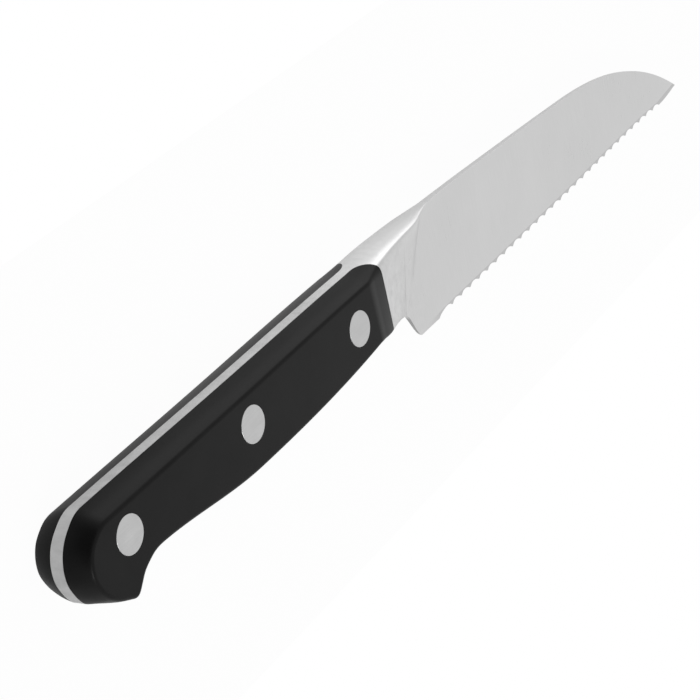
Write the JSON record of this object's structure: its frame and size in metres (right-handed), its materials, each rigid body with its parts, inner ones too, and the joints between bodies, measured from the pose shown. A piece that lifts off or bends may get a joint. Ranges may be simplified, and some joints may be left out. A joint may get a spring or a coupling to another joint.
{
  "type": "serrated utility knife",
  "caption": "Forged kitchen utility knife with a scalloped edge, tapered bolster, full tang and black riveted scales with a hooked butt, lying on its side.",
  "frame": {"origin": "centre of the knife's bounding box seen from above, on the ground it lies on", "axes": "+X along the knife to the tip, +Y from the cutting edge to the back, +Z out of the knife's right side, which faces up"},
  "size_m": [0.2438, 0.0246, 0.0122],
  "materials": {
    "satin_steel": "satin, ground along the blade",
    "rivet_steel": "ground flush",
    "black_scale": "semi-matt black"
  },
  "bodies": {
    "root": {"forged_blade": "satin_steel", "right_scale": "black_scale", "left_scale": "black_scale", "front_rivet_pin": "rivet_steel", "front_rivet_sleeve": "rivet_steel", "middle_rivet_pin": "rivet_steel", "middle_rivet_sleeve": "rivet_steel", "rear_rivet_pin": "rivet_steel", "rear_rivet_sleeve": "rivet_steel"}
  },
  "joints": []
}
